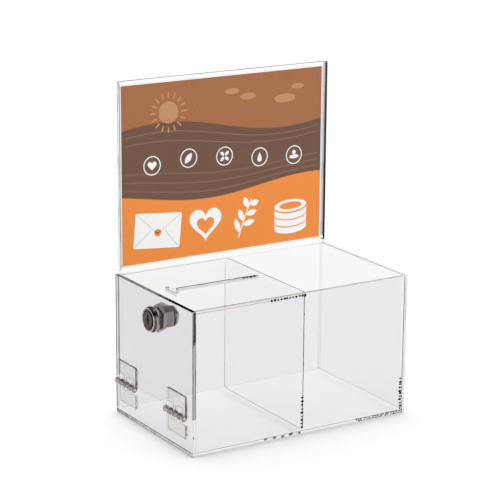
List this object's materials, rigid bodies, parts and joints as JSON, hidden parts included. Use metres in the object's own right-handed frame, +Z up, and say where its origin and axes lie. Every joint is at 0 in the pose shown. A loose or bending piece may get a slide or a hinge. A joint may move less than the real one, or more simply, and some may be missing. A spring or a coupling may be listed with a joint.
{
  "type": "collection box",
  "caption": "Clear acrylic collection box with a lidded ballot compartment, an open side pocket, a drop-down locking end door and a folded sign holder on the back.",
  "frame": {"origin": "centre of the underside of the bottom panel, on the surface that the box stands on", "axes": "+X from the door end to the open pocket, +Y towards the sign holder at the back, +Z up"},
  "size_m": [0.2983, 0.1788, 0.3947],
  "materials": {
    "acrylic": "clear cast acrylic sheet with polished edges",
    "holder_acrylic": "clear thin acrylic sheet, heat folded",
    "hinge_plastic": "clear moulded acrylic",
    "pin_steel": "drawn steel wire",
    "lock_chrome": "dark chrome plate on die-cast zinc",
    "cam_steel": "zinc-plated stamped steel",
    "tumbler_brass": "stamped brass",
    "printed_card": "satin printed card"
  },
  "bodies": {
    "case": {"bottom_panel": "acrylic", "front_panel": "acrylic", "back_panel": "acrylic", "right_end_panel": "acrylic", "lower_end_strip": "acrylic", "divider_panel": "acrylic", "top_panel": "acrylic", "sign_mount_strip": "acrylic", "sign_holder": "holder_acrylic", "fixed_hinge_leaf_front": "hinge_plastic", "fixed_hinge_leaf_back": "hinge_plastic", "hinge_pin_front": "pin_steel", "hinge_pin_back": "pin_steel"},
    "door": {"door_panel": "acrylic", "door_hinge_leaf_front": "hinge_plastic", "door_hinge_leaf_back": "hinge_plastic", "lock_housing": "lock_chrome", "lock_nut": "lock_chrome"},
    "lock_core": {"lock_plug": "lock_chrome", "tumbler_spring_1": "cam_steel", "tumbler_spring_2": "cam_steel", "tumbler_spring_3": "cam_steel", "tumbler_spring_4": "cam_steel", "stop_washer": "cam_steel", "lock_cam": "cam_steel", "cam_washer": "cam_steel", "cam_nut": "cam_steel"},
    "wafer_1": {"tumbler_1": "tumbler_brass"},
    "wafer_2": {"tumbler_2": "tumbler_brass"},
    "wafer_3": {"tumbler_3": "tumbler_brass"},
    "wafer_4": {"tumbler_4": "tumbler_brass"},
    "card": {"sign_card": "printed_card"}
  },
  "joints": [
    {"name": "door_swing", "type": "hinge", "parent": "case", "child": "door", "pos_m": [-0.1493, 0, 0.0433], "axis": [0, -1, 0], "range_deg": [0, 110]},
    {"name": "cam_turn", "type": "hinge", "parent": "door", "child": "lock_core", "pos_m": [-0.145, 0, 0.1375], "axis": [1, 0, 0], "range_deg": [0, 90]},
    {"name": "tumbler_1_lift", "type": "slide", "parent": "lock_core", "child": "wafer_1", "axis": [0, 0, 1], "range_m": [0, 0.0012], "deforming": ["tumbler_spring_1"]},
    {"name": "tumbler_2_lift", "type": "slide", "parent": "lock_core", "child": "wafer_2", "axis": [0, 0, 1], "range_m": [0, 0.0012], "deforming": ["tumbler_spring_2"]},
    {"name": "tumbler_3_lift", "type": "slide", "parent": "lock_core", "child": "wafer_3", "axis": [0, 0, 1], "range_m": [0, 0.0012], "deforming": ["tumbler_spring_3"]},
    {"name": "tumbler_4_lift", "type": "slide", "parent": "lock_core", "child": "wafer_4", "axis": [0, 0, 1], "range_m": [0, 0.0012], "deforming": ["tumbler_spring_4"]},
    {"name": "card_slide", "type": "slide", "parent": "case", "child": "card", "axis": [1, 0, 0], "range_m": [-0.28, 0.28]}
  ]
}
